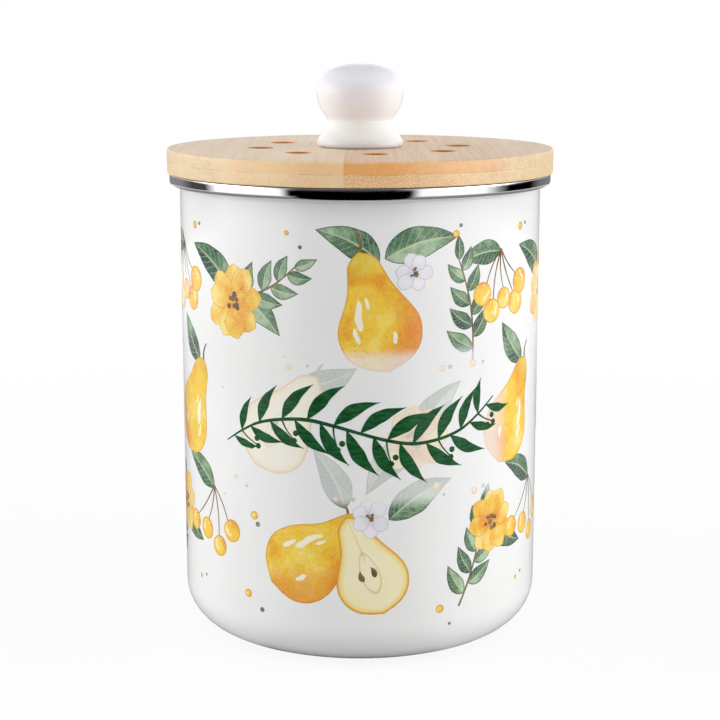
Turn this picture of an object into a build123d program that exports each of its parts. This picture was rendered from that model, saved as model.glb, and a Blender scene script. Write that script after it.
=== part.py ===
"""A countertop compost caddy: an enamelled steel canister with a clinched steel rim, and a
vented two-ply bamboo lid with a ceramic knob, a finned seal and a charcoal filter under it.

Millimetres. +Z is up, and the origin is the centre of the base on the worktop.
"""

from build123d import *
from math import cos, radians, sin
import os

# Canister: one drawn steel tub with enamel on both sides
canister_radius = 79.5
canister_height = 203.5
canister_wall = 0.9
base_corner_radius = 19.5
base_recess_depth = 1.6
base_recess_radius = 46.0
base_recess_slope = 5.0
base_recess_round = 3.0
lip_root_round = 1.2
lip_edge_round = 0.6

# Steel rim: a thin channel clinched over the canister's lip
rim_overhang = 4.5
rim_height = 5.0
rim_sheet = 0.4
rim_skirt_depth = 4.0
rim_top_round = 0.8
rim_bottom_round = 2.2
rim_fit_gap = 0.1

# Bamboo lid: two plies of the same thickness, glued face to face
lid_overhang = 1.0
lid_seat_gap = 0.3
ply_thickness = 5.25
lid_top_round = 0.8
lid_bottom_round = 1.6
vent_count = 8
vent_radius = 5.5
vent_turn = 8.5
vent_edge_break = 0.35

# Plug ring: the turned bamboo step that centres the lid in the mouth
plug_depth = 13.0
plug_wall = 10.4
plug_clearance = 2.2
plug_lead_in = 1.5
seal_groove_height = 5.0
seal_groove_depth = 3.0
seal_groove_drop = 4.0

# Seal: a silicone ring with fins, drawn at its fitted size
seal_fit_gap = 0.1
seal_fin_count = 3
seal_fin_thickness = 0.9
seal_fin_tip = 0.5
seal_fin_rise = 0.5
seal_running_gap = 0.3

# Knob: glazed ceramic, held by one machine screw from below; its outline is drawn as points of
# radius and height, and stretches with the knob's height
knob_height = 36.1
knob_foot_outline = ((18.2, 0.0), (18.8, 1.0), (18.9, 2.4), (18.3, 3.8))
knob_flare_outline = ((18.3, 3.8), (16.1, 7.2), (14.8, 9.8), (14.4, 12.0))
knob_ball_outline = ((14.4, 12.0), (15.5, 13.8), (17.5, 17.1), (18.7, 20.5), (19.1, 24.0), (18.0, 28.8))
knob_crown_outline = ((18.0, 28.8), (15.6, 32.0), (10.0, 34.9), (0.0, 36.1))
knob_foot_recess_radius = 12.0
knob_foot_recess_depth = 1.0
knob_bore_spare = 1.5

# Knob screw, washer and threaded insert
screw_radius = 2.0
screw_head_radius = 4.0
screw_head_height = 2.4
screw_engagement = 12.0
screw_hole_clearance = 0.5
screw_running_gap = 0.05
washer_radius = 6.0
washer_thickness = 0.8
insert_wall = 1.8
insert_length = 14.0
insert_collar = 1.0
insert_collar_height = 1.5
insert_fit_gap = 0.05
recess_width = 0.8
recess_share = 0.55
recess_depth_share = 0.6

# Charcoal filter and the moulded cover and seat that hold it
filter_margin = 1.0
filter_thickness = 6.5
filter_edge_break = 0.8
filter_plenum = 3.7
filter_side_gap = 0.5
cover_floor = 1.6
cover_wall = 1.2
cover_wall_height = 7.5
window_rings = 2
window_hub_radius = 9.0
window_web = 3.0
window_spokes = 8
window_spoke_width = 2.6
grip_length = 46.0
grip_width = 3.2
grip_depth = 8.0
grip_round = 1.2
lug_count = 3
lug_reach = 2.0
lug_thickness = 1.6
lug_arc = 24.0
ledge_extra_arc = 4.0
bayonet_gap = 0.4
bayonet_turn = 40.0
stop_arc = 2.0
stop_gap_arc = 1.0
seat_wall = 2.0
seat_ear_radius = 4.4
seat_ear_thickness = 2.0
seat_ear_step = 0.4
seat_side_gap = 0.5

# Seat screws: small pan-head wood screws up into the lower ply
seat_screw_radius = 1.3
seat_screw_head_radius = 2.5
seat_screw_head_height = 1.6
seat_screw_bite = 4.0
seat_screw_gap = 0.05

# Places that follow from the sizes above
rim_outer_radius = canister_radius + rim_overhang
rim_bottom = canister_height - rim_height
canister_bore = canister_radius - canister_wall
mouth_radius = canister_bore - rim_fit_gap - rim_sheet
lid_radius = rim_outer_radius + lid_overhang
lid_bottom = canister_height + lid_seat_gap
ply_joint = lid_bottom + ply_thickness
lid_top = ply_joint + ply_thickness
plug_radius = mouth_radius - plug_clearance
plug_bottom = lid_bottom - plug_depth
groove_top = lid_bottom - seal_groove_drop
groove_bottom = groove_top - seal_groove_height
groove_floor_radius = plug_radius - seal_groove_depth
plug_inner_radius = plug_radius - plug_wall
ear_circle_radius = plug_inner_radius - seat_side_gap - seat_ear_radius
seat_radius = ear_circle_radius - seat_ear_radius + seat_ear_step
seat_inner_radius = seat_radius - seat_wall
lug_radius = seat_inner_radius - bayonet_gap
cover_radius = lug_radius - lug_reach
cover_inner_radius = cover_radius - cover_wall
filter_radius = cover_inner_radius - filter_side_gap
vent_circle_radius = filter_radius - filter_margin - vent_radius
filter_top = lid_bottom - filter_plenum
filter_bottom = filter_top - filter_thickness
cover_bottom = filter_bottom - cover_floor
lug_top = cover_bottom + cover_wall_height
lug_bottom = lug_top - lug_thickness
ledge_top = lug_bottom - bayonet_gap
ledge_bottom = ledge_top - lug_thickness
ledge_arc = lug_arc + ledge_extra_arc
ear_turn = (bayonet_turn + 360 / lug_count) / 2
insert_radius = screw_radius + screw_running_gap + insert_wall


def tube(outer, inner, bottom, top):
    """A plain ring on the axis, between two heights."""
    ring = Cylinder(outer, top - bottom) - Cylinder(inner, top - bottom)
    return Pos(0, 0, (bottom + top) / 2) * ring


def disc(radius, bottom, top):
    """A plain disc on the axis, between two heights."""
    return Pos(0, 0, (bottom + top) / 2) * Cylinder(radius, top - bottom)


def turned(profile):
    """A solid of revolution from a closed line of radius and height."""
    return revolve(make_face(Plane.XZ * profile), Axis.Z)


def sheet_metal(points, rounds, thickness, side):
    """A thin revolved sheet: one face runs along the points, the other is offset to a side."""
    face_line = FilletPolyline(*points, radius=rounds)
    section = offset(face_line, amount=thickness, side=side, closed=True)
    return turned(section)


def ring_sector(inner, outer, bottom, top, start, arc):
    """A piece of a ring between two angles, in degrees from +X."""
    centre = ((inner + outer) / 2, (bottom + top) / 2)
    section = Plane.XZ * Pos(*centre) * Rectangle(outer - inner, top - bottom)
    return Rot(0, 0, start) * revolve(section, Axis.Z, revolution_arc=arc)


def on_circle(radius, angle, height=0.0):
    """A place at an angle on a circle around the axis."""
    return Pos(radius * cos(radians(angle)), radius * sin(radians(angle)), height)


def edges_at(part, height):
    """The part's edges that lie flat at one height."""
    return part.edges().filter_by_position(Axis.Z, height - 0.001, height + 0.001)


def circle_edge(part, radius, height):
    """The one round edge of that radius, centred on the axis, at that height."""
    rings = edges_at(part, height).filter_by(GeomType.CIRCLE)
    return [e for e in rings if abs(e.radius - radius) < 0.01]


def canister_shell():
    """The drawn tub: recessed base, large corner, straight wall and an out-turned lip."""
    foot_radius = base_recess_radius + base_recess_slope
    lip_under = canister_height - rim_sheet - rim_fit_gap - canister_wall
    lip_radius = rim_outer_radius - rim_sheet - rim_fit_gap - canister_wall
    lip_end = rim_bottom + rim_bottom_round + rim_fit_gap
    outside = [
        (0, base_recess_depth),
        (base_recess_radius, base_recess_depth),
        (foot_radius, 0),
        (canister_radius, 0),
        (canister_radius, lip_under),
        (lip_radius, lip_under),
        (lip_radius, lip_end),
    ]
    rounds = [base_recess_round, base_recess_round, base_corner_radius, lip_root_round, lip_edge_round]
    return sheet_metal(outside, rounds, canister_wall, Side.LEFT)


def steel_rim():
    """The trim: down inside the mouth, over the top, round the outside and back under the lip."""
    outside = [
        (mouth_radius, canister_height - rim_skirt_depth),
        (mouth_radius, canister_height),
        (rim_outer_radius, canister_height),
        (rim_outer_radius, rim_bottom),
        (canister_radius + rim_fit_gap, rim_bottom),
    ]
    rounds = [rim_top_round, rim_top_round, rim_bottom_round]
    return sheet_metal(outside, rounds, rim_sheet, Side.RIGHT)


def vents(bottom, top):
    """The ring of vent holes as solids to cut away."""
    angles = [vent_turn - 90 + 360 * i / vent_count for i in range(vent_count)]
    hole = disc(vent_radius, bottom, top)
    return [on_circle(vent_circle_radius, angle) * hole for angle in angles]


def lid_ply(bottom, top):
    """One bamboo ply with its vent holes and the screw hole."""
    board = disc(lid_radius, bottom, top) - vents(bottom, top)
    return board - disc(screw_radius + screw_hole_clearance, bottom, top)


def lid_top_ply():
    """The upper ply: soft top edge, and the vent holes' edges broken."""
    board = lid_ply(ply_joint, lid_top)
    board = fillet(circle_edge(board, lid_radius, lid_top), lid_top_round)
    vent_rims = [
        e for e in edges_at(board, lid_top).filter_by(GeomType.CIRCLE)
        if abs(e.radius - vent_radius) < 0.01
    ]
    return chamfer(vent_rims, vent_edge_break)


def lid_bottom_ply():
    """The lower ply: rounder bottom edge, and pilot holes for the seat's screws."""
    board = lid_ply(lid_bottom, ply_joint)
    board = fillet(circle_edge(board, lid_radius, lid_bottom), lid_bottom_round)
    pilot = disc(seat_screw_radius + seat_screw_gap, lid_bottom, lid_bottom + seat_screw_bite)
    return board - [on_circle(ear_circle_radius, angle) * pilot for angle in ear_angles()]


def lid_plug_ring():
    """The turned step: a bamboo ring with a groove for the seal and a lead-in at its foot."""
    ring = tube(plug_radius, plug_inner_radius, plug_bottom, lid_bottom)
    groove = tube(plug_radius + 1, groove_floor_radius, groove_bottom, groove_top)
    ring = chamfer(circle_edge(ring, plug_radius, plug_bottom), plug_lead_in)
    return ring - groove


def lid_seal():
    """The silicone ring: a band in the groove with thin fins that wipe the mouth."""
    band_inner = groove_floor_radius + seal_fit_gap
    band_bottom = groove_bottom + seal_fit_gap
    band_top = groove_top - seal_fit_gap
    fin_radius = mouth_radius - seal_running_gap
    band_outer = plug_radius
    seal = tube(band_outer, band_inner, band_bottom, band_top)
    pitch = (band_top - band_bottom - seal_fin_thickness) / (seal_fin_count - 1)
    for i in range(seal_fin_count):
        root = band_bottom + pitch * i
        drop = seal_fin_rise if i == seal_fin_count - 1 else 0
        tip = root + seal_fin_rise - drop
        fin = Polyline(
            (band_outer - 1, root),
            (fin_radius, tip),
            (fin_radius, tip + seal_fin_tip),
            (band_outer - 1, root + seal_fin_thickness),
            close=True,
        )
        seal += turned(fin)
    return seal


def knob():
    """The ceramic knob: a beaded foot, a flare up to a sharp waist, and a flattened ball."""
    stretch = knob_height / knob_crown_outline[-1][1]

    def raised(points):
        return [(radius, lid_top + height * stretch) for radius, height in points]

    foot = Spline(*raised(knob_foot_outline))
    flare = Spline(*raised(knob_flare_outline))
    ball = Spline(*raised(knob_ball_outline), tangents=[(0.5, 1), (-0.55, 1)])
    crown = Spline(*raised(knob_crown_outline), tangents=[(-0.55, 1), (-1, 0)])
    axis_line = Line(crown @ 1, (0, lid_top))
    base_line = Line((0, lid_top), foot @ 0)
    solid_knob = turned(foot + flare + ball + crown + axis_line + base_line)
    bore_radius = insert_radius + insert_fit_gap
    bore = disc(bore_radius, lid_top, lid_top + insert_length + knob_bore_spare)
    collar_bore = disc(bore_radius + insert_collar, lid_top, lid_top + insert_collar_height + insert_fit_gap)
    foot_recess = disc(knob_foot_recess_radius, lid_top, lid_top + knob_foot_recess_depth)
    return solid_knob - bore - collar_bore - foot_recess


def knob_insert():
    """The brass insert potted in the knob: a threaded tube with a flange at the foot."""
    sleeve = disc(insert_radius, lid_top, lid_top + insert_length)
    sleeve += disc(insert_radius + insert_collar, lid_top, lid_top + insert_collar_height)
    bore = disc(screw_radius + screw_running_gap, lid_top, lid_top + insert_length)
    return sleeve - bore


def cross_recess(head_radius, head_height, underside):
    """A cross-shaped driver recess in the underside of a screw head."""
    length = 2 * head_radius * recess_share
    depth = head_height * recess_depth_share
    slot = Box(length, recess_width, depth) + Box(recess_width, length, depth)
    return Pos(0, 0, underside + depth / 2) * slot


def pan_screw(radius, head_radius, head_height, seat_height, tip_height):
    """A pan-head screw pointing up, its head under the seat height."""
    underside = seat_height - head_height
    head = disc(head_radius, underside, seat_height)
    head = fillet(edges_at(head, underside), head_height / 2)
    shank = disc(radius, seat_height, tip_height)
    shank = chamfer(edges_at(shank, tip_height), radius / 3)
    return head + shank - cross_recess(head_radius, head_height, underside)


def knob_screw():
    """The machine screw that clamps the knob to the lid."""
    seat_height = lid_bottom - washer_thickness
    return pan_screw(
        screw_radius, screw_head_radius, screw_head_height, seat_height, lid_top + screw_engagement
    )


def knob_washer():
    """The washer that spreads the screw's load over the bamboo."""
    return tube(washer_radius, screw_radius + screw_hole_clearance, lid_bottom - washer_thickness, lid_bottom)


def ear_angles():
    """Where the seat's three ears stand, clear of where the lugs lock and pass."""
    return [90 + ear_turn + 360 * i / lug_count for i in range(lug_count)]


def filter_seat():
    """The moulded seat: a ring with three ledges, a stop at each end of the twist, and ears."""
    seat = tube(seat_radius, seat_inner_radius, ledge_bottom, lid_bottom)
    ledge_inner = cover_radius + bayonet_gap
    stop_bottom = lug_bottom - bayonet_gap
    for i in range(lug_count):
        locked = 90 + 360 * i / lug_count
        lock_stop = locked + lug_arc / 2 + stop_gap_arc
        free_stop = locked - bayonet_turn - lug_arc / 2 - stop_gap_arc - stop_arc
        ledge_start = locked - ledge_arc / 2
        seat += ring_sector(ledge_inner, seat_inner_radius + 0.5, ledge_bottom, ledge_top, ledge_start, ledge_arc)
        seat += ring_sector(ledge_inner, seat_inner_radius + 0.5, stop_bottom, lid_bottom, lock_stop, stop_arc)
        seat += ring_sector(ledge_inner, seat_inner_radius + 0.5, stop_bottom, lid_bottom, free_stop, stop_arc)
    ear = disc(seat_ear_radius, lid_bottom - seat_ear_thickness, lid_bottom)
    ear_bridge = Pos(-seat_ear_radius / 2, 0, lid_bottom - seat_ear_thickness / 2) * Box(
        seat_ear_radius, 2 * seat_ear_radius, seat_ear_thickness
    )
    hole = disc(seat_screw_radius + seat_screw_gap, lid_bottom - seat_ear_thickness, lid_bottom)
    for angle in ear_angles():
        place = on_circle(ear_circle_radius, angle) * Rot(0, 0, angle)
        inside = disc(seat_inner_radius, lid_bottom - seat_ear_thickness, lid_bottom)
        seat += place * (ear + ear_bridge) - inside
        seat -= place * hole
    return seat


def filter_seat_screws():
    """Three pan-head wood screws up through the ears."""
    screw = pan_screw(
        seat_screw_radius,
        seat_screw_head_radius,
        seat_screw_head_height,
        lid_bottom - seat_ear_thickness,
        lid_bottom + seat_screw_bite,
    )
    return Compound([on_circle(ear_circle_radius, angle) * screw for angle in ear_angles()])


def filter_cover():
    """The moulded tray: a grille floor, a side wall with three lugs, and a bar to twist it by."""
    cover = disc(cover_radius, cover_bottom, lug_top)
    cover = chamfer(circle_edge(cover, cover_radius, cover_bottom), cover_wall / 2)
    cover -= disc(cover_inner_radius, filter_bottom, lug_top)
    span = (cover_inner_radius - window_hub_radius - (window_rings + 1) * window_web) / window_rings
    for ring in range(window_rings):
        inner = window_hub_radius + window_web + ring * (span + window_web)
        cover -= tube(inner + span, inner, cover_bottom, filter_bottom)
    for i in range(window_spokes):
        spoke = Pos(cover_inner_radius / 2, 0, cover_bottom + cover_floor / 2) * Box(
            cover_inner_radius, window_spoke_width, cover_floor
        )
        cover += Rot(0, 0, 360 * i / window_spokes) * spoke
    for i in range(lug_count):
        start = 90 + 360 * i / lug_count - lug_arc / 2
        cover += ring_sector(cover_radius - 0.5, lug_radius, lug_bottom, lug_top, start, lug_arc)
    bar_height = grip_depth + cover_floor
    bar = Pos(0, 0, filter_bottom - bar_height / 2) * Box(grip_length, grip_width, bar_height)
    bar = fillet(edges_at(bar, filter_bottom - bar_height), grip_round)
    return cover + bar


def charcoal_filter():
    """The replaceable charcoal felt pad lying in the tray."""
    pad = disc(filter_radius, filter_bottom, filter_top)
    return chamfer(pad.edges().filter_by(GeomType.CIRCLE), filter_edge_break)


os.makedirs("parts", exist_ok=True)
nodes = {
    "canister_shell": canister_shell(),
    "steel_rim": steel_rim(),
    "lid_top_ply": lid_top_ply(),
    "lid_bottom_ply": lid_bottom_ply(),
    "lid_plug_ring": lid_plug_ring(),
    "lid_seal": lid_seal(),
    "knob": knob(),
    "knob_insert": knob_insert(),
    "knob_screw": knob_screw(),
    "knob_washer": knob_washer(),
    "filter_seat": filter_seat(),
    "filter_seat_screws": filter_seat_screws(),
    "filter_cover": filter_cover(),
    "charcoal_filter": charcoal_filter(),
}
for name, solid in nodes.items():
    export_step(solid, f"parts/{name}.step")
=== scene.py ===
"""The looks of a countertop compost caddy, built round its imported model.

Metres, +Z up, in the model's own frame: the origin is the centre of the base, -Y is the front.
"""

from math import cos, pi, radians, sin, sqrt, tan
from random import Random

import bmesh
import bpy
import numpy as np
from mathutils import Matrix, Vector


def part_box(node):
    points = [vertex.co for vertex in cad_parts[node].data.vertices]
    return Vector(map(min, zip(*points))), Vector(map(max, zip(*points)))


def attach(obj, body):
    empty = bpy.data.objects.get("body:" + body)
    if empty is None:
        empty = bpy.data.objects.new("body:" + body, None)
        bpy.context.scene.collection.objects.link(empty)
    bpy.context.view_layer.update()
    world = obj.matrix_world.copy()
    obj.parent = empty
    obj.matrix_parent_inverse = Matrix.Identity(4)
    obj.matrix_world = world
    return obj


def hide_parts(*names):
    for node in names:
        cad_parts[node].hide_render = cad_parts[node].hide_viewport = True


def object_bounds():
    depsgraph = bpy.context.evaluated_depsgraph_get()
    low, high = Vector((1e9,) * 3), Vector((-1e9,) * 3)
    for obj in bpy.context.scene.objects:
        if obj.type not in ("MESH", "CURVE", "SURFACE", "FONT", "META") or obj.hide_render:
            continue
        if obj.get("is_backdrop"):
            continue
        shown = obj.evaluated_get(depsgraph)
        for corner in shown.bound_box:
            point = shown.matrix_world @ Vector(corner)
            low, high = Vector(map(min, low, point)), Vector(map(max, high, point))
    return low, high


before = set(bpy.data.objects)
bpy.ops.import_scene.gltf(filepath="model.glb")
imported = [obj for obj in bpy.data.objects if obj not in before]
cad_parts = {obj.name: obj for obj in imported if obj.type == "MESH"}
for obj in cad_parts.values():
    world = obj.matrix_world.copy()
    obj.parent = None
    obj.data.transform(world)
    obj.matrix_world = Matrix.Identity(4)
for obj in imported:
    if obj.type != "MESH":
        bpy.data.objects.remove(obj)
cad_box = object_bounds()


# Camera: a short telephoto a little above the knob, looking slightly down at the middle of the
# canister, as in the photograph.
camera_distance = 0.7821
camera_height = 0.2700
camera_tilt = 10.98
camera_lens = bpy.data.cameras.new("camera")
camera_lens.sensor_width = 36
camera_lens.lens = 88.1
camera = bpy.data.objects.new("camera", camera_lens)
camera.location = (0, -camera_distance, camera_height)
camera.rotation_euler = (radians(90 - camera_tilt), 0, 0)
bpy.context.scene.collection.objects.link(camera)
bpy.context.scene.camera = camera
bpy.context.scene.view_settings.view_transform = "Standard"


# Studio: a white room with a long softbox at each side, a broad light high in front and a dark gap
# where the camera stands. The polished rim mirrors the boxes and the gap; the enamel shows them softly.
def screen(red, green, blue):
    """A linear colour from the 0 to 255 values that a screen shows."""
    shares = [value / 255 for value in (red, green, blue)]
    return (*[s / 12.92 if s <= 0.04045 else ((s + 0.055) / 1.055) ** 2.4 for s in shares], 1.0)


class Wire:
    """One socket in a tree of nodes. Arithmetic on a wire adds the Math nodes behind it."""

    def __init__(self, tree, socket=None):
        self.tree = tree
        self.socket = socket

    def add(self, kind, out=0, stops=None, sockets=None, **settings):
        """A new node, a shader node if its kind names no other family. Its settings come first, then
        its sockets by name or number, as values or wires."""
        node = self.tree.nodes.new(kind if "Node" in kind else "ShaderNode" + kind)
        for name, value in settings.items():
            setattr(node, name, value)
        if stops:
            ramp = node.color_ramp.elements
            ramp[0].position, ramp[1].position = stops[0][0], stops[-1][0]
            for place, _ in stops[1:-1]:
                ramp.new(place)
            for stop, (_, colour) in zip(ramp, stops):
                stop.color = colour if isinstance(colour, tuple) else (colour, colour, colour, 1)
        for name, value in (sockets or {}).items():
            if isinstance(value, Wire):
                self.tree.links.new(value.socket, node.inputs[name])
            else:
                node.inputs[name].default_value = value
        return Wire(self.tree, node.outputs[out]) if node.outputs else None

    def maths(self, operation, *values):
        """A Math node on any values or wires."""
        return self.add("Math", operation=operation, sockets=dict(enumerate(values)))

    def __add__(self, other):
        return self.maths("ADD", self, other)

    def __sub__(self, other):
        return self.maths("SUBTRACT", self, other)

    def __rsub__(self, other):
        return self.maths("SUBTRACT", other, self)

    def __mul__(self, other):
        return self.maths("MULTIPLY", self, other)

    def __truediv__(self, other):
        return self.maths("DIVIDE", self, other)

    __radd__ = __add__
    __rmul__ = __mul__

    def __abs__(self):
        return self.maths("ABSOLUTE", self)

    def rise(self, low, high):
        """A smooth rise from 0 to 1 between two values, or a fall where low is above high."""
        return self.add(
            "MapRange", interpolation_type="SMOOTHSTEP", sockets={0: self, 1: low, 2: high, 3: 0.0, 4: 1.0}
        )

    def ramp(self, *stops):
        """A colour that this value picks from a row of stops."""
        return self.add("ValToRGB", stops=stops, sockets={0: self})

    def mix(self, start, end):
        """A colour between two others, by this value."""
        return self.add("Mix", out=2, data_type="RGBA", sockets={0: self, 6: start, 7: end})

    def axes(self):
        """The X, Y and Z of this vector."""
        split = self.add("SeparateXYZ", sockets={0: self})
        return [Wire(self.tree, out) for out in split.socket.node.outputs]

    def stretched(self, x, y, z):
        """This vector multiplied along each axis."""
        return self.add("VectorMath", operation="MULTIPLY", sockets={0: self, 1: (x, y, z)})

    def noise(self, scale, detail=2.0, roughness=0.5):
        """Cloudy noise from 0 to 1 at this place."""
        return self.add(
            "TexNoise", sockets={"Vector": self, "Scale": scale, "Detail": detail, "Roughness": roughness}
        )

    def cells(self, scale, out=0):
        """The distance to the nearest of many scattered points, or the colour of its cell."""
        return self.add("TexVoronoi", out=out, sockets={"Vector": self, "Scale": scale})

    def surface(self, colour, roughness, bump=None, others=None):
        """The end of a finish: a principled surface, with a bump given as strength, depth and height."""
        sockets = {"Base Color": colour, "Roughness": roughness, **(others or {})}
        if bump:
            sockets["Normal"] = self.add("Bump", sockets=dict(zip(("Strength", "Distance", "Height"), bump)))
        skin = self.add("BsdfPrincipled", sockets=sockets)
        self.add("OutputMaterial", sockets={"Surface": skin})


room = bpy.data.worlds.new("room")
room.use_nodes = True
room.node_tree.nodes.clear()
bpy.context.scene.world = room
sky = Wire(room.node_tree)
sky_x, sky_y, sky_z = sky.add("TexCoord", out="Generated").axes()
bearing = sky.maths("ARCTAN2", sky_x, sky_y * -1) / (2 * pi) + 0.5


def round_the_room(strength, *levels):
    """Grey levels by the angle from the front, in degrees, growing to the right, and their strength."""
    return bearing.ramp(*[((angle + 180) / 360, level) for angle, level in levels]) * strength


under_table = round_the_room(
    1.4, (-180, 0.20), (-135, 0.20), (-118, 0.05), (-104, 0.05), (-94, 0.95), (-48, 0.95), (-42, 0.0),
    (30, 0.0), (36, 0.9), (78, 0.95), (90, 0.25), (98, 0.0), (122, 0.0), (135, 0.14), (180, 0.20),
)
side_boxes = round_the_room(
    6.2, (-180, 0.16), (-120, 0.22), (-104, 0.88), (-92, 1.0), (-76, 0.90), (-60, 0.34), (-46, 0.10),
    (-36, 0.02), (20, 0.02), (32, 0.10), (50, 0.40), (66, 0.74), (80, 1.0), (94, 0.92), (112, 0.26),
    (120, 0.20), (180, 0.16),
)
upper_room = round_the_room(
    1.15, (-180, 0.35), (-110, 0.48), (-85, 0.80), (-60, 0.48), (-36, 0.15), (20, 0.15), (50, 0.48),
    (80, 0.80), (110, 0.48), (180, 0.35),
)
over_front = round_the_room(2.1, (-180, 0.10), (-95, 0.25), (-60, 1.0), (60, 1.0), (95, 0.25), (180, 0.10))
ceiling_level = 0.30
above_table = sky_z.rise(-0.06, -0.02)
above_boxes = sky_z.rise(0.30, 0.50)
above_front = sky_z.rise(0.70, 0.84)
ceiling = sky_z.rise(0.95, 0.99)
walls = under_table + (side_boxes - under_table) * above_table
walls = walls + (upper_room - walls) * above_boxes
walls = walls + (over_front - walls) * above_front
walls = walls + (ceiling_level - walls) * ceiling
lit_room = sky.add("Background", sockets={"Color": (1, 1, 1, 1), "Strength": walls})
backdrop = sky.add("Background", sockets={"Color": (1, 1, 1, 1), "Strength": 1.0})
camera_ray = sky.add("LightPath", out="Is Camera Ray")
seen_room = sky.add("MixShader", sockets={0: camera_ray, 1: lit_room, 2: backdrop})
sky.add("OutputWorld", sockets={"Surface": seen_room})


# Floor: a round sheet of white paper that fades into the white backdrop at its edge. It keeps a
# faint shadow of the canister. In mirrors it shows a painted glow instead, grey near by and
# dark in front, which the rim reflects.
def new_finish(name):
    """An empty material and the wire to build it from."""
    material = bpy.data.materials.new(name)
    material.use_nodes = True
    material.node_tree.nodes.clear()
    return material, Wire(material.node_tree)


def mesh_piece(name, mesh, material):
    """A new object at the origin that shows a mesh in one material."""
    mesh.materials.clear()
    mesh.materials.append(material)
    piece = bpy.data.objects.new(name, mesh)
    bpy.context.scene.collection.objects.link(piece)
    return piece


floor_radius = 1.2
floor_fade = 0.35
floor_glow_near = 0.90
floor_bounce = screen(196, 196, 196)
floor_seen = screen(236, 236, 236)
mirrored_fade = 0.45
mirrored_near = 0.28
white_paper, paper = new_finish("white_paper")
paper_x, paper_y, _ = paper.add("TexCoord", out="Object").axes()
paper_reach = paper.maths("SQRT", paper_x * paper_x + paper_y * paper_y)
seen_rays = paper.add("LightPath", out="Is Camera Ray")
glossy_rays = paper.add("LightPath", out="Is Glossy Ray")
mirrored_rays = glossy_rays + paper.add("LightPath", out="Is Transmission Ray")
seen_glow = paper_reach.rise(floor_fade, 2 * floor_fade) * (1 - floor_glow_near) + floor_glow_near
# Painted reflection: mirrors see the floor glow grey near by, white far off and dark in a wedge in front.
paper_side = paper.maths("ARCTAN2", paper_x, paper_y * -1)
painted_dark_front = paper_side.rise(radians(-42), radians(-34)) * paper_side.rise(radians(33), radians(26))
painted_mirror_glow = paper_reach.rise(mirrored_fade, floor_radius) * (1 - mirrored_near) + mirrored_near
paper_tone = seen_rays.mix(floor_bounce, floor_seen)
paper_light = seen_rays.mix(painted_mirror_glow * (1 - painted_dark_front), (1, 1, 1, 1))
paper_glow = seen_rays * seen_glow + mirrored_rays
matte_paper = paper.add("BsdfDiffuse", sockets={"Color": paper_tone})
bright_paper = paper.add("Emission", sockets={"Color": paper_light, "Strength": 1.0})
seen_paper = paper.add("MixShader", sockets={0: paper_glow, 1: matte_paper, 2: bright_paper})
paper.add("OutputMaterial", sockets={"Surface": seen_paper})
floor_form = bmesh.new()
bmesh.ops.create_circle(floor_form, cap_ends=True, segments=96, radius=floor_radius)
floor_mesh = bpy.data.meshes.new("floor")
floor_form.to_mesh(floor_mesh)
floor_form.free()
floor = mesh_piece("floor", floor_mesh, white_paper)
floor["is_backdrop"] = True


# Canister: one drawn steel tub with white enamel fired on both sides. Its lip turns out and
# down under the rim, and its base is drawn in, so that it stands on a flat ring.
mm = 0.001


def rounded(*corners, steps=10):
    """A line through corners of radius, height and rounding, in mm, with an arc at each rounding."""
    line = []
    for i, (radius, height, rounding) in enumerate(corners):
        here = Vector((radius, height))
        if not rounding:
            line.append(here)
            continue
        back = (Vector(corners[i - 1][:2]) - here).normalized()
        ahead = (Vector(corners[(i + 1) % len(corners)][:2]) - here).normalized()
        half = back.angle(ahead) / 2
        centre = here + (back + ahead).normalized() * rounding / sin(half)
        arm = here + back * rounding / tan(half) - centre
        sweep = (pi - 2 * half) * (1 if back.cross(ahead) < 0 else -1)
        for k in range(steps + 1):
            line.append(centre + Matrix.Rotation(sweep * k / steps, 2) @ arm)
    return line


def turned(name, outline, loop=True, segments=240):
    """A mesh of revolution from an outline of radius and height, in mm."""
    form = bmesh.new()
    angles = [2 * pi * k / segments for k in range(segments)]
    rings = []
    for radius, height in outline:
        spots = [(0, 0)] if radius < 1e-6 else [(radius * cos(a), radius * sin(a)) for a in angles]
        rings.append([form.verts.new((x * mm, y * mm, height * mm)) for x, y in spots])
    for low, high in zip(rings, rings[1:] + (rings[:1] if loop else [])):
        for k in range(segments):
            n = (k + 1) % segments
            corners = [low[k % len(low)], low[n % len(low)], high[n % len(high)], high[k % len(high)]]
            corners = [c for i, c in enumerate(corners) if c not in corners[:i]]
            if len(corners) > 2:
                form.faces.new(corners)
    bmesh.ops.recalc_face_normals(form, faces=form.faces)
    mesh = bpy.data.meshes.new(name)
    form.to_mesh(mesh)
    form.free()
    smoothed(mesh)
    return mesh


def smoothed(mesh):
    """Smooth shading, with an edge kept sharp where it folds by more than 32 degrees."""
    mesh.shade_smooth()
    mesh.set_sharp_from_angle(angle=radians(32))


body_radius = 79.5
sheet = 0.9
base_corner = 19.5
base_recess = 1.6
recess_radius = 46.0
recess_round = 3.0
foot_radius = 51.0
lip_root_round = 1.2
lip_edge_round = 0.6
lip_end = 200.8
shell_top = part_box("canister_shell")[1].z / mm
lip_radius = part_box("canister_shell")[1].x / mm
canister_outline = rounded(
    (0, base_recess, 0),
    (recess_radius, base_recess, recess_round),
    (foot_radius, 0, recess_round),
    (body_radius, 0, base_corner),
    (body_radius, shell_top - sheet, lip_root_round),
    (lip_radius - sheet, shell_top - sheet, lip_edge_round),
    (lip_radius - sheet, lip_end, 0),
    (lip_radius, lip_end, 0),
    (lip_radius, shell_top, lip_edge_round + sheet),
    (body_radius - sheet, shell_top, lip_root_round + sheet),
    (body_radius - sheet, sheet, base_corner - sheet),
    (foot_radius, sheet, recess_round - sheet),
    (recess_radius, base_recess + sheet, recess_round + sheet),
    (0, base_recess + sheet, 0),
)
enamel_white = screen(250, 250, 250)
enamel_finish, enamel = new_finish("white_enamel")
enamel_place = enamel.add("TexCoord", out="Object")
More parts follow.
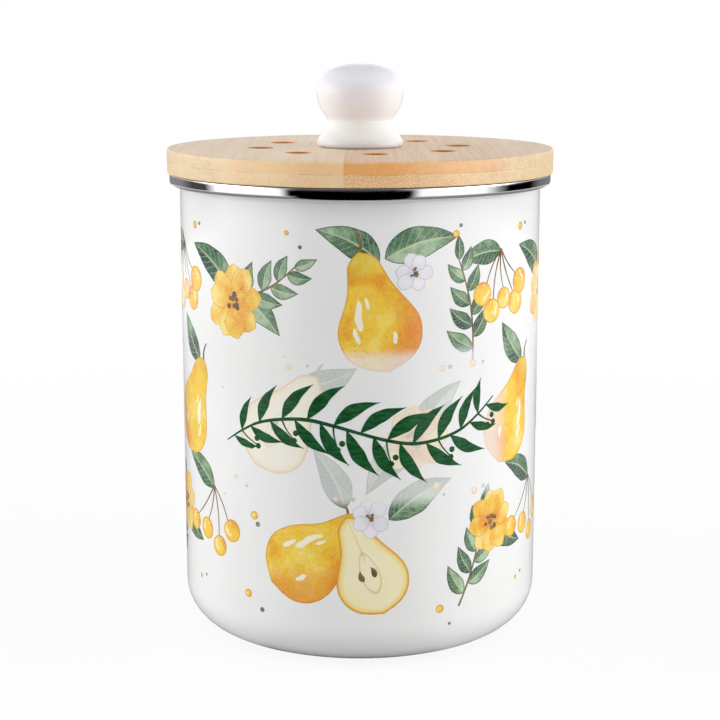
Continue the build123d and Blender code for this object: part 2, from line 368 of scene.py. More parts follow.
enamel_tone = enamel_place.noise(14, 3).rise(0.35, 0.65).mix(enamel_white, screen(247, 247, 246))
speck_chance = enamel_place.cells(260, out="Color").axes()[0].rise(0.972, 0.974)
enamel_specks = enamel_place.cells(260).rise(0.11, 0.07) * speck_chance
enamel_height = enamel_place.noise(55, 1) + enamel_place.noise(420, 1) * 0.08
enamel.surface(
    colour=(enamel_specks * 0.5).mix(enamel_tone, screen(96, 92, 88)),
    roughness=0.10,
    bump=(0.25, 0.00025, enamel_height),
    others={"IOR": 1.62},
)
canister_mesh = turned("enamel_canister", canister_outline, loop=False)
canister = mesh_piece("enamel_canister", canister_mesh, enamel_finish)
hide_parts("canister_shell")
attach(canister, "canister")


# Rim: a channel of thin stainless steel, clinched over the canister's lip and polished to a
# mirror. It runs down inside the mouth, over the top and back in under the lip.
rim_low, rim_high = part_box("steel_rim")
rim_radius = rim_high.x / mm
rim_top = rim_high.z / mm
rim_bottom = rim_low.z / mm
mouth_radius = 78.1
rim_sheet = 0.4
rim_skirt = 4.0
rim_inner_end = 79.6
rim_curl = 1.7
mouth_edge = 0.6
outer_edge = 0.3
fold_inside = 0.2
rim_outline = rounded(
    (mouth_radius, rim_top - rim_skirt, 0),
    (mouth_radius, rim_top, mouth_edge),
    (rim_radius, rim_top, outer_edge),
    (rim_radius, rim_bottom, rim_curl),
    (rim_inner_end, rim_bottom, 0),
    (rim_inner_end, rim_bottom + rim_sheet, 0),
    (rim_radius - rim_sheet, rim_bottom + rim_sheet, rim_curl - rim_sheet),
    (rim_radius - rim_sheet, rim_top - rim_sheet, fold_inside),
    (mouth_radius + rim_sheet, rim_top - rim_sheet, fold_inside),
    (mouth_radius + rim_sheet, rim_top - rim_skirt, 0),
)
rim_finish, polish = new_finish("polished_steel")
polish_place = polish.add("TexCoord", out="Object")
polish_marks = polish_place.stretched(1, 1, 60).noise(90, 4, 0.6)
polish.surface(
    colour=screen(226, 226, 228),
    roughness=polish_place.noise(30, 3) * 0.03 + 0.02,
    bump=(0.05, 0.0001, polish_marks),
    others={"Metallic": 1.0},
)
rim = mesh_piece("polished_rim", turned("polished_rim", rim_outline), rim_finish)
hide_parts("steel_rim")
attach(rim, "canister")


# Lid: two plies of strip bamboo glued face to face, turned to a disc and oiled. The fibres run
# from front to back, so the front edge shows their cut ends and the sides show them lengthways.
def bamboo_finish(name, strip_width, first_joint, strip_step, bundle_pitch, bundle_ink, tones, cut_tones):
    """Oiled strip bamboo: strips side by side, fibres along Y, and bundles dotted over the cut ends."""
    material, wood = new_finish(name)
    place = wood.add("TexCoord", out="Object")
    x, y, z = place.axes()
    facing = wood.add("TexCoord", out="Normal").axes()
    cut_end = (facing[1] * facing[1]).rise(0.40, 0.86)
    flat_face = abs(facing[2]).rise(0.5, 0.9)

    # Each strip's own tone, its dense skin side and the distance from its joints
    strips = (x / mm - first_joint) / strip_width
    strip = strips.maths("FLOOR", strips)
    strip_tone = abs(strip).rise(0.6, 0.4) * 0.35 + strip.rise(0.4, 0.6) * 0.15 + 0.53
    skin_side = 1 - strips.maths("FRACT", strips)
    joint = abs(strips.maths("FRACT", strips + 0.5) - 0.5) * strip_width

    # Streaks along the fibres, and dots where the fibre bundles are cut across
    bands = place.stretched(1, 0.02, 1).noise(420, 5, 0.62)
    broad = place.stretched(1, 0.08, 1.6).noise(60, 3)
    fibres = place.stretched(1, 0.03, 2.0).noise(900, 3, 0.6).rise(0.42, 0.68)
    long_grain = (bands * 0.9 + broad * 0.6 + fibres * 0.24 + strip_tone * 0.8 - 1.02).rise(0.0, 1.0)
    bundle_place = wood.add("CombineXYZ", sockets={"X": x, "Y": z * 0.75})
    bundle_sockets = {"Vector": bundle_place, "Scale": 1 / (bundle_pitch * mm), "Randomness": 0.8}
    dots = wood.add("TexVoronoi", voronoi_dimensions="2D", sockets=bundle_sockets).rise(0.50, 0.20)
    cut_grain = (dots * bundle_ink + skin_side * 0.7 * strip_step) * (strip_tone * strip_tone)
    cut_grain = cut_grain + (strip_tone - 0.6) * strip_step
    cut_grain = (cut_grain + broad * 0.6 + bands * 0.35 - 0.22).rise(0.0, 1.0)
    colour = cut_end.mix(long_grain.mix(*tones), cut_grain.mix(*cut_tones))
    # Painted sheen: the flat faces are mixed a quarter of the way towards a pale grey.
    colour = (flat_face * 0.24).mix(colour, screen(184, 162, 162))

    # Bore walls in orange-brown with painted shade darker down the bore, dark joints between the strips, and
    # the glue line between the plies
    near_axis = (x * x + y * y).rise(0.0037, 0.0035)
    bored = near_axis * flat_face.rise(1.0, 0.4)
    # Painted shade: each bore darkens from orange at the top to dark brown deep down, and is dark brown all
    # through the lower ply.
    bore_tone_and_depth_shade = z.rise(ply_seam + 0.001, ply_seam + 0.006).mix(screen(112, 42, 4), screen(214, 126, 18))
    colour = (bored * 0.95).mix(colour, bore_tone_and_depth_shade)
    colour = (joint.rise(0.22, 0.08) * 0.14).mix(colour, screen(140, 86, 44))
    seam = abs(z - ply_seam).rise(0.00016, 0.00004) * broad.rise(0.42, 0.55)
    colour = (seam * 0.35).mix(colour, screen(120, 74, 38))
    wood.surface(colour, roughness=bands * 0.12 + 0.34, bump=(0.3, 0.0001, bands * 0.5 - dots * 0.5))
    return material


def new_tree(name, sizes):
    """An empty geometry tree with named sizes, the function that adds its nodes, and its inputs."""
    tree = bpy.data.node_groups.new(name, "GeometryNodeTree")
    tree.interface.new_socket("Geometry", in_out="INPUT", socket_type="NodeSocketGeometry")
    for size, kind in sizes.items():
        tree.interface.new_socket(size, in_out="INPUT", socket_type="NodeSocket" + kind)
    tree.interface.new_socket("Geometry", in_out="OUTPUT", socket_type="NodeSocketGeometry")
    given = {socket.name: Wire(tree, socket) for socket in tree.nodes.new("NodeGroupInput").outputs}

    def node(kind, sockets, **settings):
        return Wire(tree).add(kind, sockets=sockets, **settings)

    return tree, node, given


def perforator():
    """A tree that bores a ring of holes through a disc and breaks the edge of each at the top."""
    tree, node, given = new_tree("bore_vents", {
        "Holes": "Int", "Ring Radius": "Float", "Hole Radius": "Float", "Edge Break": "Float",
        "Turn": "Float", "Top": "Float", "Depth": "Float", "Finish": "Material",
    })
    hole_radius, edge_break = given["Hole Radius"], given["Edge Break"]
    ring = node("GeometryNodeMeshCircle", {"Vertices": given["Holes"], "Radius": given["Ring Radius"]})
    height = node("CombineXYZ", {"Z": given["Top"]})
    spin = node("CombineXYZ", {"Z": given["Turn"]})
    ring = node("GeometryNodeTransform", {"Geometry": ring, "Translation": height, "Rotation": spin})
    bore = {"Vertices": 72, "Radius": hole_radius, "Depth": given["Depth"] * 3.0}
    drill = node("GeometryNodeMeshCylinder", bore)
    sink = node("GeometryNodeMeshCone", {
        "Vertices": 72, "Radius Top": hole_radius + edge_break * 2.0,
        "Radius Bottom": hole_radius - edge_break, "Depth": edge_break * 3.0,
    })
    drop = node("CombineXYZ", {"Z": edge_break * -2.0})
    sink = node("GeometryNodeTransform", {"Geometry": sink, "Translation": drop})
    board = given["Geometry"]
    for tool in (drill, sink):
        tools = node("GeometryNodeInstanceOnPoints", {"Points": ring, "Instance": tool})
        tools = node("GeometryNodeRealizeInstances", {"Geometry": tools})
        solids = {"Mesh 1": board, "Mesh 2": tools}
        board = node("GeometryNodeMeshBoolean", solids, operation="DIFFERENCE", solver="EXACT")
    board = node("GeometryNodeRealizeInstances", {"Geometry": board})
    board = node("GeometryNodeSetMaterial", {"Geometry": board, "Material": given["Finish"]})
    node("NodeGroupOutput", {"Geometry": board})
    return tree


def grown(piece, tree, sizes):
    """Gives the piece a tree's result as its plain mesh, from the tree's named sizes."""
    modifier = piece.modifiers.new("shape", "NODES")
    modifier.node_group = tree
    for item in tree.interface.items_tree:
        if item.in_out == "INPUT" and item.name in sizes:
            modifier[item.identifier] = sizes[item.name]
    bpy.context.view_layer.update()
    shown = piece.evaluated_get(bpy.context.evaluated_depsgraph_get())
    made = bpy.data.meshes.new_from_object(shown)
    piece.modifiers.remove(modifier)
    made.name = piece.name
    piece.data = made


vent_tree = perforator()
vent_count = 8
vent_ring_radius = 44.0
vent_radius = 5.5
vent_turn = 8.5
lid_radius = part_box("lid_top_ply")[1].x / mm
ply_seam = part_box("lid_top_ply")[0].z
upper_bamboo = bamboo_finish(
    "bamboo_upper", strip_width=67.4, first_joint=-6.4, strip_step=0.5, bundle_pitch=0.6, bundle_ink=0.35,
    tones=(screen(232, 208, 170), screen(204, 158, 108)),
    cut_tones=(screen(250, 216, 168), screen(244, 168, 92)),
)
lower_bamboo = bamboo_finish(
    "bamboo_lower", strip_width=30.1, first_joint=-6.4, strip_step=0.15, bundle_pitch=0.62, bundle_ink=0.7,
    tones=(screen(234, 210, 168), screen(212, 172, 120)),
    cut_tones=(screen(254, 228, 186), screen(234, 170, 108)),
)
for ply, edge_break, top_round, low_round, finish in (
    ("lid_top_ply", 0.35, 0.8, 0, upper_bamboo),
    ("lid_bottom_ply", 0.02, 0, 0.5, lower_bamboo),
):
    ply_low, ply_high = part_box(ply)
    disc = turned(ply, rounded(
        (0, ply_low.z / mm, 0),
        (lid_radius, ply_low.z / mm, low_round),
        (lid_radius, ply_high.z / mm, top_round),
        (0, ply_high.z / mm, 0),
    ), loop=False)
    board = mesh_piece(ply.replace("lid_", "bamboo_"), disc, finish)
    grown(board, vent_tree, {
        "Holes": vent_count, "Ring Radius": vent_ring_radius * mm, "Hole Radius": vent_radius * mm,
        "Edge Break": edge_break * mm, "Turn": radians(vent_turn - 90), "Top": ply_high.z,
        "Depth": ply_high.z - ply_low.z, "Finish": finish,
    })
    smoothed(board.data)
    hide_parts(ply)
    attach(board, "lid")


# Knob: slip-cast white porcelain with a thick clear glaze: a flared foot, undercut where it meets
# the lid, a sharp waist and a flattened ball. A screw from below goes into a brass insert in it.
def through(points, steps=8):
    """A smooth line through points of radius and height, with the end slopes left free."""
    line = []
    spots = [np.array(p, float) for p in points]
    spots = [2 * spots[0] - spots[1], *spots, 2 * spots[-1] - spots[-2]]
    for a, b, c, d in zip(spots, spots[1:], spots[2:], spots[3:]):
        for t in np.linspace(0, 1, steps, endpoint=False):
            line.append((2 * b + (c - a) * t + (2 * a - 5 * b + 4 * c - d) * t**2
                         + (3 * b - a - 3 * c + d) * t**3) / 2)
    return [*line, spots[-2]]


knob_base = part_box("knob")[0].z / mm
knob_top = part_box("knob")[1].z / mm - knob_base
foot_recess_radius = 12.0
foot_recess_depth = 1.0
foot_and_flare = (
    (17.0, 0.0), (17.1, 0.5), (18.4, 0.72), (18.85, 1.3), (18.9, 2.4), (18.3, 3.8), (17.2, 5.5), (16.1, 7.2),
    (15.3, 8.8), (14.6, 10.4), (14.4, 12.0),
)
ball = (
    (14.4, 12.0), (15.5, 13.8), (17.5, 17.1), (18.7, 20.5), (19.1, 24.0), (18.8, 26.5), (18.0, 28.8),
    (15.6, 32.0), (13.0, 33.7), (9.0, 35.2), (4.5, 35.95), (0.0, knob_top),
)
knob_outline = [
    (0.0, knob_base + foot_recess_depth),
    (foot_recess_radius, knob_base + foot_recess_depth),
    (foot_recess_radius, knob_base),
    *[(radius, knob_base + height) for radius, height in through(foot_and_flare)[:-1]],
    *[(max(radius, 0.0), knob_base + height) for radius, height in through(ball)],
]
glaze_finish, glaze = new_finish("white_glaze")
glaze_place = glaze.add("TexCoord", out="Object")
glaze_height = (glaze_place.axes()[2] / mm - knob_base) / knob_top
glaze_tone_and_crown_shade = glaze_place.noise(45, 3).rise(0.3, 0.7).mix(screen(236, 234, 236), screen(233, 231, 234))
# Painted shade: the glaze turns a darker bluish grey towards the top of the ball.
glaze_tone_and_crown_shade = glaze_height.rise(0.50, 0.95).mix(glaze_tone_and_crown_shade, screen(212, 213, 220))
glaze.surface(
    # Painted light: the foot and flare are a lighter white than the ball.
    colour=glaze_height.rise(0.40, 0.30).mix(glaze_tone_and_crown_shade, screen(249, 249, 249)),
    roughness=glaze_place.noise(70, 2) * 0.05 + 0.20,
    bump=(0.2, 0.0002, glaze_place.noise(80, 2)),
    others={
        "IOR": 1.5,
        "Specular IOR Level": 0.15,
        "Subsurface Weight": 1.0,
        "Subsurface Radius": (1, 1, 1),
        "Subsurface Scale": 0.02,
    },
)
knob_mesh = turned("ceramic_knob", knob_outline, loop=False, segments=160)
knob = mesh_piece("ceramic_knob", knob_mesh, glaze_finish)
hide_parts("knob")
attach(knob, "lid")


# Plug ring: a step of the same bamboo, turned to fit the mouth and glued under the lid. It centres
# the lid, and the groove round it holds the seal.
def dress(node, material):
    """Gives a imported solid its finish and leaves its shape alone."""
    node.data.materials.clear()
    node.data.materials.append(material)


dress(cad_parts["lid_plug_ring"], bamboo_finish(
    "bamboo_step", strip_width=30.1, first_joint=8.0, strip_step=0.3, bundle_pitch=0.8, bundle_ink=0.6,
    tones=(screen(242, 218, 178), screen(228, 190, 140)),
    cut_tones=(screen(250, 222, 178), screen(208, 142, 86)),
))


# Seal: a ring of soft white silicone, moulded with three fins and stretched into the step's
# groove. The fins close the gap to the rim.
silicone_finish, silicone = new_finish("white_silicone")
silicone_place = silicone.add("TexCoord", out="Object")
silicone_dust = silicone_place.noise(180, 4).rise(0.35, 0.8)
silicone.surface(
    colour=silicone_dust.mix(screen(236, 236, 232), screen(214, 213, 207)),
    roughness=silicone_dust * 0.15 + 0.42,
    bump=(0.2, 0.0001, silicone_place.noise(900, 2)),
    others={"Subsurface Weight": 0.25, "Subsurface Scale": 0.003},
)
dress(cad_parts["lid_seal"], silicone_finish)


# Knob screw, washer and seat screws: bright zinc on steel. The knob's insert is turned brass, potted
# in the porcelain, and the screw in it draws the knob down onto the lid.
def plated(name, colour, tint, roughness):
    """Small turned or plated metal, with faint tool marks and cloudy plating."""
    material, metal = new_finish(name)
    place = metal.add("TexCoord", out="Object")
    cloud = place.noise(240, 3).rise(0.3, 0.75)
    metal.surface(
        colour=cloud.mix(colour, tint),
        roughness=cloud * 0.12 + roughness,
        bump=(0.3, 0.00005, place.stretched(1, 1, 9).noise(1500, 2)),
        others={"Metallic": 1.0},
    )
    return material


zinc = plated("bright_zinc", screen(206, 208, 212), screen(186, 188, 196), 0.24)
dress(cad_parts["knob_screw"], zinc)
dress(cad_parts["knob_washer"], zinc)
dress(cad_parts["filter_seat_screws"], zinc)
dress(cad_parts["knob_insert"], plated("turned_brass", screen(206, 172, 96), screen(182, 144, 74), 0.28))


# Filter seat and tray: white injection-moulded polypropylene with a fine spark-eroded texture. The
# seat is screwed under the lid, and the tray twists into it on its lugs.
moulding_finish, moulding = new_finish("white_polypropylene")
moulding_place = moulding.add("TexCoord", out="Object")
moulding_flow = moulding_place.noise(35, 2).rise(0.3, 0.7)
moulding.surface(
    colour=moulding_flow.mix(screen(240, 240, 236), screen(232, 232, 227)),
    roughness=moulding_flow * 0.08 + 0.38,
    bump=(0.3, 0.00006, moulding_place.noise(2600, 2)),
    others={"Subsurface Weight": 0.1, "Subsurface Scale": 0.002},
)
dress(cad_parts["filter_seat"], moulding_finish)
dress(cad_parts["filter_cover"], moulding_finish)


# Filter: a pad of black charcoal-loaded felt, die-cut to lie loose in the tray, so that the air
# to the vents passes through it.
felt_finish, felt = new_finish("charcoal_felt")
felt_place = felt.add("TexCoord", out="Object")
felt_fibres = felt_place.stretched(1, 1, 3).noise(1400, 6, 0.75)
felt.surface(
    colour=felt_fibres.rise(0.35, 0.75).mix(screen(26, 26, 27), screen(62, 61, 60)),
    roughness=0.95,
    bump=(0.9, 0.0006, felt_fibres - felt_place.cells(700) * 0.4),
    others={"Sheen Weight": 0.3},
)
dress(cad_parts["charcoal_filter"], felt_finish)


# Print: a fruit and flower pattern in ceramic inks, fired on as thin transfers. Each shape is a
# film about a tenth of a millimetre thick, drawn flat and then laid round the wall three times.
film_base = -0.04


def distances(points, border):
    """How far each flat point lies from a closed border, in mm."""
    start = border[None, :, :]
    edge = np.roll(border, -1, axis=0)[None, :, :] - start
    arm = points[:, None, :] - start
    share = np.clip((arm * edge).sum(2) / np.maximum((edge * edge).sum(2), 1e-9), 0, 1)
    return np.linalg.norm(arm - share[:, :, None] * edge, axis=2).min(axis=1)


def at(across, up, turn=0, size=1, side=1):
    """A place on the unrolled wall: across and up in mm, turn in degrees, scale and mirror."""
    return across, up, turn, size, side


def within(place, x, y, angle=0):
    """A place given inside another, with a turn of its own."""
    across, up, turn, size, side = place
    a = radians(turn)
    x, y = x * size * side, y * size
    across, up = across + x * cos(a) - y * sin(a), up + x * sin(a) + y * cos(a)
    return at(across, up, turn + side * angle, size, side)


class Inks:
    """Flat shapes printed in one family of inks, gathered on the unrolled wall, in mm."""

    def __init__(self, seed):
        self.points, self.faces, self.along, self.inset = [], [], [], []
        self.dice = Random(seed)

    def swept(self, spine, widths, place, lift, wobble, columns=8):
        """A shape swept along a spine, with a half-width at each of its points."""
        spine, widths = np.array(spine, float), np.maximum(np.array(widths, float), 0.08)
        rows = len(spine)
        slope = np.gradient(spine, axis=0)
        slope /= np.linalg.norm(slope, axis=1)[:, None]
        side = np.stack([slope[:, 1], -slope[:, 0]], axis=1)
        u = np.linspace(0, 1, rows)
        v = np.sin(np.linspace(-pi / 2, pi / 2, columns + 1))
        edges = []
        for _ in range(2):
            slow, fast, shift = self.dice.uniform(5, 9), self.dice.uniform(14, 24), self.dice.uniform(0, 6)
            wave = wobble * (np.sin(slow * u + shift) + 0.5 * np.sin(fast * u + shift)) / 1.5
            edges.append(widths * (1 + wave))
        reach = np.where(v[None, :] < 0, edges[0][:, None], edges[1][:, None]) * v[None, :]
        grid = spine[:, None, :] + side[:, None, :] * reach[:, :, None]
        border = np.concatenate([grid[0, :-1], grid[:-1, -1], grid[-1, :0:-1], grid[:0:-1, 0]])
        chance = self.dice.random()
        scale, flip = place[3:]
        start, wide = len(self.points), columns + 1
        size = rows * wide
        flat = grid.reshape(-1, 2)
        for height in (lift, film_base):
            self.points += [(*within(place, x, y)[:2], height) for x, y in flat]
            self.along += [(uu, vv, chance) for uu in u for vv in v]
            self.inset += list(distances(flat, border) * scale)
        loops = []
        for i in range(rows - 1):
            for j in range(columns):
                corner = start + i * wide + j
                quad = [corner, corner + 1, corner + wide + 1, corner + wide]
                loops += [quad, [k + size for k in reversed(quad)]]
        ring = [start + j for j in range(columns)]
        ring += [start + i * wide + columns for i in range(rows - 1)]
        ring += [start + (rows - 1) * wide + j for j in range(columns, 0, -1)]
        ring += [start + i * wide for i in range(rows - 1, 0, -1)]
        loops += [[a, a + size, b + size, b] for a, b in zip(ring, ring[1:] + ring[:1])]
        self.faces += [face[::-1] if flip < 0 else face for face in loops]

    def mesh(self, name):
        """The gathered shapes as one mesh in metres, with the attributes that the inks read."""
        made = bpy.data.meshes.new(name)
        made.from_pydata([(x * mm, y * mm, z * mm) for x, y, z in self.points], [], self.faces)
        made.attributes.new("along", "FLOAT_VECTOR", "POINT").data.foreach_set("vector", np.ravel(self.along))
        made.attributes.new("inset", "FLOAT", "POINT").data.foreach_set("value", np.ravel(self.inset))
        return made


def wall_wrapper():
    """A tree that repeats a flat print along the unrolled wall and bends it round the radius."""
    sizes = {"Radius": "Float", "Repeats": "Int", "Finish": "Material"}
    tree, node, given = new_tree("lay_round_wall", sizes)
    pitch = given["Radius"] * (2 * pi) / given["Repeats"]
    offset = node("CombineXYZ", {"X": pitch})
    row = node("GeometryNodeMeshLine", {"Count": given["Repeats"], "Offset": offset}, mode="OFFSET")
    prints = node("GeometryNodeInstanceOnPoints", {"Points": row, "Instance": given["Geometry"]})
    prints = node("GeometryNodeRealizeInstances", {"Geometry": prints})
    flat_x, flat_y, flat_z = node("GeometryNodeInputPosition", {}).axes()
    turn = flat_x / given["Radius"]
    reach = given["Radius"] + flat_z
    across = reach * turn.maths("SINE", turn)
    back = reach * (turn.maths("COSINE", turn) * -1.0)
    bent = node("CombineXYZ", {"X": across, "Y": back, "Z": flat_y})
    prints = node("GeometryNodeSetPosition", {"Geometry": prints, "Position": bent})
    prints = node("GeometryNodeSetMaterial", {"Geometry": prints, "Material": given["Finish"]})
    node("NodeGroupOutput", {"Geometry": prints})
    return tree


wrap_tree = wall_wrapper()
wall_radius = body_radius * mm
repeats = 3
panel_low = 0.073
panel_high = 0.136
panel_veil = 0.62


def ink_wires(name):
    """A new ink, with its place on the wall, its place in its shape and its depth from the edge."""
    material, ink = new_finish(name)
    place = ink.add("TexCoord", out="Object")
    u, v, chance = ink.add("Attribute", out="Vector", attribute_name="along").axes()
    inset = ink.add("Attribute", out="Fac", attribute_name="inset")
    return material, ink, place, u, v, chance, inset


def fired(ink, place, colour, granules=0.10):
    """The ink's end: pigment granules, the paler panel at the front, and the glaze over it."""
    grain = place.noise(1100, 3, 0.7).rise(0.35, 0.75) * granules
    colour = grain.mix(colour, screen(255, 252, 244))
    x, y, z = place.axes()
    panel = abs(x).rise(0.064, 0.056) * y.rise(0.01, -0.01)
    panel = panel * z.rise(panel_low - 0.003, panel_low + 0.003)
    panel = panel * z.rise(panel_high + 0.003, panel_high - 0.003)
    ink.surface((panel * panel_veil).mix(colour, enamel_white), roughness=0.09, others={"IOR": 1.52})


def laid(name, inks, material, copies=repeats):
    """Bends a gathered print round the wall, as one piece that rides on the canister."""
    piece = mesh_piece(name, inks.mesh(name), material)
    grown(piece, wrap_tree, {"Radius": wall_radius, "Repeats": copies, "Finish": material})
    smoothed(piece.data)
    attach(piece, "canister")


leaf_inks, fruit_inks, flesh_inks = Inks(3), Inks(5), Inks(7)
flower_inks, pale_inks, twig_inks = Inks(11), Inks(13), Inks(17)


def bent_spine(length, bend, rows=18):
    """A spine that rises a length and bows to one side."""
    return [
        (bend * sin(pi * k / rows) * 0.8 + bend * 0.3 * (k / rows) ** 2, length * k / rows)
        for k in range(rows + 1)
    ]


def leaf(place, length, width, bend, lift=0.02, rows=18):
    """A pointed leaf, widest below its middle."""
    shares = np.linspace(0, 1, rows + 1)
    widths = width * np.sin(pi * shares**0.78) ** 0.95 * (1 - 0.15 * shares)
    leaf_inks.swept(bent_spine(length, bend, rows), widths, place, lift, wobble=0.06)


def twig(place, length, bend, thick):
    """A thin stalk that narrows a little to its end."""
    shares = np.linspace(1, 0.55, 11)
    twig_inks.swept(bent_spine(length, bend, 10), thick * shares, place, lift=0.03, wobble=0.15, columns=4)


pear_profile = (
    (0, 0), (0.02, 0.30), (0.06, 0.56), (0.12, 0.78), (0.20, 0.93), (0.30, 1.0), (0.40, 0.97), (0.50, 0.85),
    (0.60, 0.68), (0.70, 0.53), (0.80, 0.45), (0.90, 0.38), (0.96, 0.26), (1.0, 0),
)


def pear_widths(width, rows):
    """The pear's half-width at each row, with the corners of its profile softened."""
    places, shares = zip(*pear_profile)
    fine = np.linspace(0, 1, rows + 1)
    eased = np.interp(fine, places, shares)
    soft = np.convolve(np.pad(eased, 1, mode="edge"), [0.25, 0.5, 0.25], mode="valid")
    soft[0] = soft[-1] = 0
    return width * soft


def pear(place, length=51.0, width=17.5, lift=0.05):
    """A whole pear with its stalk."""
    rows = 30
    spine = [(1.8 * sin(2.2 * k / rows), length * (k / rows - 0.42)) for k in range(rows + 1)]
    twig(within(place, 1.4, length * 0.555, -8), 9.0, 1.6, 0.7)
    fruit_inks.swept(spine, pear_widths(width, rows), place, lift, wobble=0.02, columns=14)


def cut_pear(place, length=49.0, width=17.0):
    """Half a pear, cut face to the viewer, with its core line and two pips."""
    rows = 30
    spine = [(-1.5 * sin(2.2 * k / rows), length * (k / rows - 0.42)) for k in range(rows + 1)]
    twig(within(place, -1.2, length * 0.555, 10), 7.0, -1.2, 0.7)
    flesh_inks.swept(spine, pear_widths(width, rows), place, 0.075, wobble=0.015, columns=14)
    for side in (-1, 1):
        seed = [(side * 2.6 + side * 0.6 * sin(pi * k / 8), -3.0 + 5.4 * k / 8) for k in range(9)]
        shares = np.linspace(0, 1, 9)
        twig_inks.swept(seed, 1.35 * np.sin(pi * shares**0.7), place, 0.10, wobble=0.04, columns=6)


def blossom(place, petals, length, width, inks=flower_inks, lift=0.06):
    """An open flower seen from in front: a ring of petals and a dotted eye."""
    shares = np.linspace(0, 1, 11)
    for k in range(petals):
        turn = 360 * k / petals + inks.dice.uniform(-7, 7)
        reach = length * inks.dice.uniform(0.86, 1.06)
        spine = bent_spine(reach, inks.dice.uniform(-1.2, 1.2), 10)
        outline = width * np.sin(pi * shares**1.25) ** 0.62
        petal = within(place, 0, 0, turn)
        inks.swept(spine, outline, petal, lift + 0.004 * (k % 3), wobble=0.07, columns=6)
    eye = length * 0.23
    for k in range(9):
        turn = inks.dice.uniform(0, 2 * pi)
        away = eye * sqrt(inks.dice.random())
        speck = within(place, away * cos(turn), away * sin(turn))
        dot(speck, eye * inks.dice.uniform(0.24, 0.36), twig_inks, lift + 0.035)


def dot(place, radius, inks, lift=0.05, columns=6, rows=8):
    """A round spot."""
    spine = [(0, -radius * cos(pi * k / rows)) for k in range(rows + 1)]
    widths = [radius * sin(pi * k / rows) for k in range(rows + 1)]
    inks.swept(spine, widths, place, lift, wobble=0.03, columns=columns)


def berries(place, count, radius):
    """A hanging bunch of round berries, each on its own stalk."""
    for k in range(count):
        turn = -38 + 76 * k / (count - 1)
        drop = 17 + 5 * (k % 2)
        stalk = within(place, 0, 0, 180 + turn)
        twig(stalk, drop, 1.5, 0.42)
        size = radius * fruit_inks.dice.uniform(0.85, 1.1)
        dot(within(stalk, 0.5, drop + radius * 0.8), size, fruit_inks, 0.055 + 0.003 * k, 8, 12)


def spray(place, pairs, length, leaf_length=15.0, leaf_width=3.7):
    """A leafy shoot: a bowed stalk with leaves in turn on each side and one at its tip."""
    twig(place, length, 4.0, 0.5)
    for k in range(2 * pairs):
        share = (k + 1.2) / (2 * pairs + 1.5)
        x, y = bent_spine(length, 4.0, 40)[int(40 * share)]
        side = 1 if k % 2 else -1
        spot = within(place, x, y, -side * (46 - 14 * share))
        long, wide = leaf_length * (1.1 - 0.45 * share), leaf_width * (1.1 - 0.35 * share)
        leaf(spot, long, wide, side * 1.2, 0.02 + 0.002 * (k % 3), 12)
    x, y = bent_spine(length, 4.0, 40)[38]
    leaf(within(place, x, y, -8), leaf_length * 0.7, leaf_width * 0.7, 0.6, 0.028, 12)


def placed_motifs():
    """One repeat of the pattern: clusters in three staggered rows, with small shapes between them."""
    high, middle, low = 154.0, 102.0, 49.0

    leaf(at(-58, high + 6, 62), 33, 7.2, 3.2)
    leaf(at(-58, high + 6, -128), 30, 6.6, -3.0)
    spray(at(-56, high + 2, -60), 3, 34)
    blossom(at(-58, high), 9, 17, 5.4)

    leaf(at(10, high + 21, -78), 33, 7.6, -3.5)
    leaf(at(8, high + 20, 66), 29, 6.6, 3.0)
    pear(at(6, high - 5, 16))
    blossom(at(22, high + 15, 20), 6, 8.5, 3.2, pale_inks, 0.095)

    spray(at(50, high - 24, 12), 4, 46)
    berries(at(66, high + 22, 8), 5, 5.2)
    leaf(at(66, high + 21, 100), 22, 5.6, 2.4)

    cut_pear(at(-34, middle + 1, -38))
    leaf(at(-26, middle + 20, -70), 26, 6.2, 2.6)
    blossom(at(23, middle - 2), 8, 15, 5.0)
    leaf(at(23, middle - 2, 140), 31, 6.8, 3.0)
    leaf(at(23, middle - 2, -44), 31, 6.8, -2.5)
    pear(at(76, middle, -28, 0.94, -1))
    leaf(at(84, middle + 24, 40), 25, 6.0, -2.0)

    berries(at(-72, low + 24, -6, 1, -1), 4, 5.4)
    leaf(at(-72, low + 23, 66), 26, 6.0, 2.6)
    pear(at(-22, low + 1, -52))
    cut_pear(at(3, low - 6, 22, 0.92, -1))
    leaf(at(-6, low + 22, 30), 28, 6.4, 2.4)
    leaf(at(12, low + 17, -62), 32, 7.0, -3.0)
    blossom(at(4, low + 18), 6, 9.0, 3.4, pale_inks, 0.095)
    spray(at(44, low - 24, -14), 4, 46)
    blossom(at(62, low + 10, 12), 9, 15, 4.8)
    leaf(at(62, low + 10, -118), 26, 6.2, 2.6)

    scatter = Random(29)
    for x, y in (
        (-86, high + 31), (-30, high + 28), (38, high + 31), (-28, high - 24), (34, high - 24),
        (50, middle + 26), (-58, middle - 24), (-8, middle - 26), (52, middle - 30),
        (-50, low + 14), (-48, low - 22), (30, low + 28), (34, low - 26), (82, low - 18),
    ):
        fleck = at(x + scatter.uniform(-3, 3), y + scatter.uniform(-3, 3))
        dot(fleck, scatter.uniform(1.0, 1.9), fruit_inks)
        speck = at(x + scatter.uniform(4, 7), y + scatter.uniform(-5, 5))
        dot(speck, scatter.uniform(0.6, 1.1), leaf_inks)


placed_motifs()

